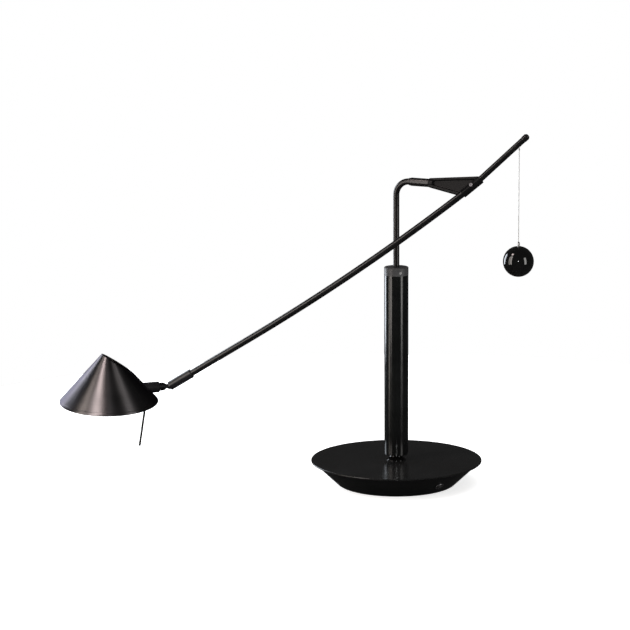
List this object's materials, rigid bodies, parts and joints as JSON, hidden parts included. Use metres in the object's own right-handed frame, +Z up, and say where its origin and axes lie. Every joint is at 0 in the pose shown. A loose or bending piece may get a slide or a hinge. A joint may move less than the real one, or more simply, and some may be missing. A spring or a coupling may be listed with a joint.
{
  "type": "desk lamp",
  "caption": "Counterweight balance desk lamp: round flared base, black column, cranked pivot, fishtail bracket, bowed arm with a hanging ball and a slant cut cone shade.",
  "frame": {"origin": "centre of the round foot, on the table", "axes": "+Z up along the column, +X towards the ball side, -Y towards the front of the lamp"},
  "size_m": [0.6833, 0.25, 0.5221],
  "materials": {
    "plate_black": "satin black paint, slightly glossy",
    "bowl_black": "satin black paint",
    "column_black": "semi-gloss black paint",
    "collar_grey": "satin dark grey metal",
    "crank_metal": "polished black metal",
    "arm_black": "semi-gloss black paint",
    "bracket_grey": "satin dark grey casting",
    "socket_black": "satin black metal",
    "stud_metal": "dark polished steel",
    "shade_gunmetal": "dark gunmetal, satin, turned",
    "reflector_bright": "bright anodised",
    "ball_black": "deep gloss black lacquer on a steel ball",
    "wire_steel": "bright wire",
    "screw_steel": "bright steel",
    "cover_steel": "zinc plated sheet",
    "ballast_iron": "raw casting",
    "core_steel": "stacked laminations",
    "coil_copper": "enamelled copper winding",
    "terminal_plastic": "cream plastic",
    "bush_plastic": "self-lubricating plastic",
    "switch_plastic": "black plastic",
    "bezel_metal": "satin metal ring",
    "gland_plastic": "black plastic",
    "pad_felt": "black felt",
    "holder_ceramic": "white ceramic",
    "capsule_glass": "clear quartz glass",
    "pin_metal": "plated pins"
  },
  "bodies": {
    "base": {"foot_pad": "pad_felt", "bottom_cover": "cover_steel", "cover_screws": "screw_steel", "base_bowl": "bowl_black", "base_disc": "plate_black", "ballast_plate": "ballast_iron", "transformer_core": "core_steel", "transformer_coil": "coil_copper", "terminal_block": "terminal_plastic", "switch_bezel": "bezel_metal", "switch_body": "switch_plastic", "cord_gland": "gland_plastic", "column_hub": "collar_grey", "hub_nut": "screw_steel", "column_tube": "column_black", "column_collar": "collar_grey", "collar_screw": "screw_steel", "lower_bush": "bush_plastic", "upper_bush": "bush_plastic"},
    "switch": {"switch_button": "switch_plastic"},
    "crank": {"crank_rod": "crank_metal", "thrust_ring": "screw_steel", "pivot_ring": "crank_metal"},
    "arm": {"pivot_barrel": "crank_metal", "fishtail_bracket": "bracket_grey", "clamp_screw": "stud_metal", "front_arm_tube": "arm_black", "rear_arm_tube": "arm_black", "arm_end_plug": "arm_black"},
    "hanger": {"hanger_bead": "wire_steel"},
    "weight": {"weight_wire": "wire_steel", "wire_ferrule": "screw_steel", "counterweight_ball": "ball_black"},
    "socket": {"socket_sleeve": "socket_black", "ball_seat": "bush_plastic"},
    "stud": {"ball_stud": "stud_metal", "stud_nut": "screw_steel"},
    "head": {"head_boss": "socket_black", "handle_rod": "stud_metal", "shade": "shade_gunmetal", "cross_strap": "cover_steel", "holder_screw": "screw_steel", "lamp_holder": "holder_ceramic", "halogen_capsule": "capsule_glass", "capsule_pins": "pin_metal", "reflector": "reflector_bright"}
  },
  "joints": [
    {"name": "switch_press", "type": "slide", "parent": "base", "child": "switch", "axis": [-0.4041, 0.5562, 0.7262], "range_m": [0, 0.0015], "stiffness_N_per_m": 400, "springref_m": -0.002},
    {"name": "crank_swivel", "type": "hinge", "parent": "base", "child": "crank", "pos_m": [0, 0, 0.3212], "axis": [0, 0, 1], "range_deg": [-165, 165]},
    {"name": "arm_roll", "type": "hinge", "parent": "crank", "child": "arm", "pos_m": [0.10678, -0.06165, 0.4471], "axis": [-0.866, 0.5, 0], "range_deg": [-8, 110]},
    {"name": "hanger_plumb", "type": "hinge", "parent": "arm", "child": "hanger", "pos_m": [0.17149, -0.07074, 0.50855], "axis": [-0.866, 0.5, 0], "range_deg": [-115, 10]},
    {"name": "weight_swing", "type": "hinge", "parent": "hanger", "child": "weight", "pos_m": [0.17149, -0.07074, 0.50005], "axis": [0.5, 0.866, 0], "range_deg": [-20, 20]},
    {"name": "socket_turn", "type": "hinge", "parent": "arm", "child": "socket", "pos_m": [-0.33031, -0.00022, 0.14699], "axis": [0.844, -0.1186, 0.5231], "range_deg": [-120, 120]},
    {"name": "head_tilt", "type": "hinge", "parent": "socket", "child": "stud", "pos_m": [-0.33031, -0.00022, 0.14699], "axis": [-0.2484, 0.778, 0.5771], "range_deg": [-31, 22]},
    {"name": "shade_turn", "type": "hinge", "parent": "stud", "child": "head", "pos_m": [-0.33031, -0.00022, 0.14699], "axis": [0.9562, 0.2923, 0.0175], "range_deg": [-120, 120]}
  ],
  "couplings": [
    {"joint": "hanger_plumb", "follows": "arm_roll", "ratio": -1}
  ]
}
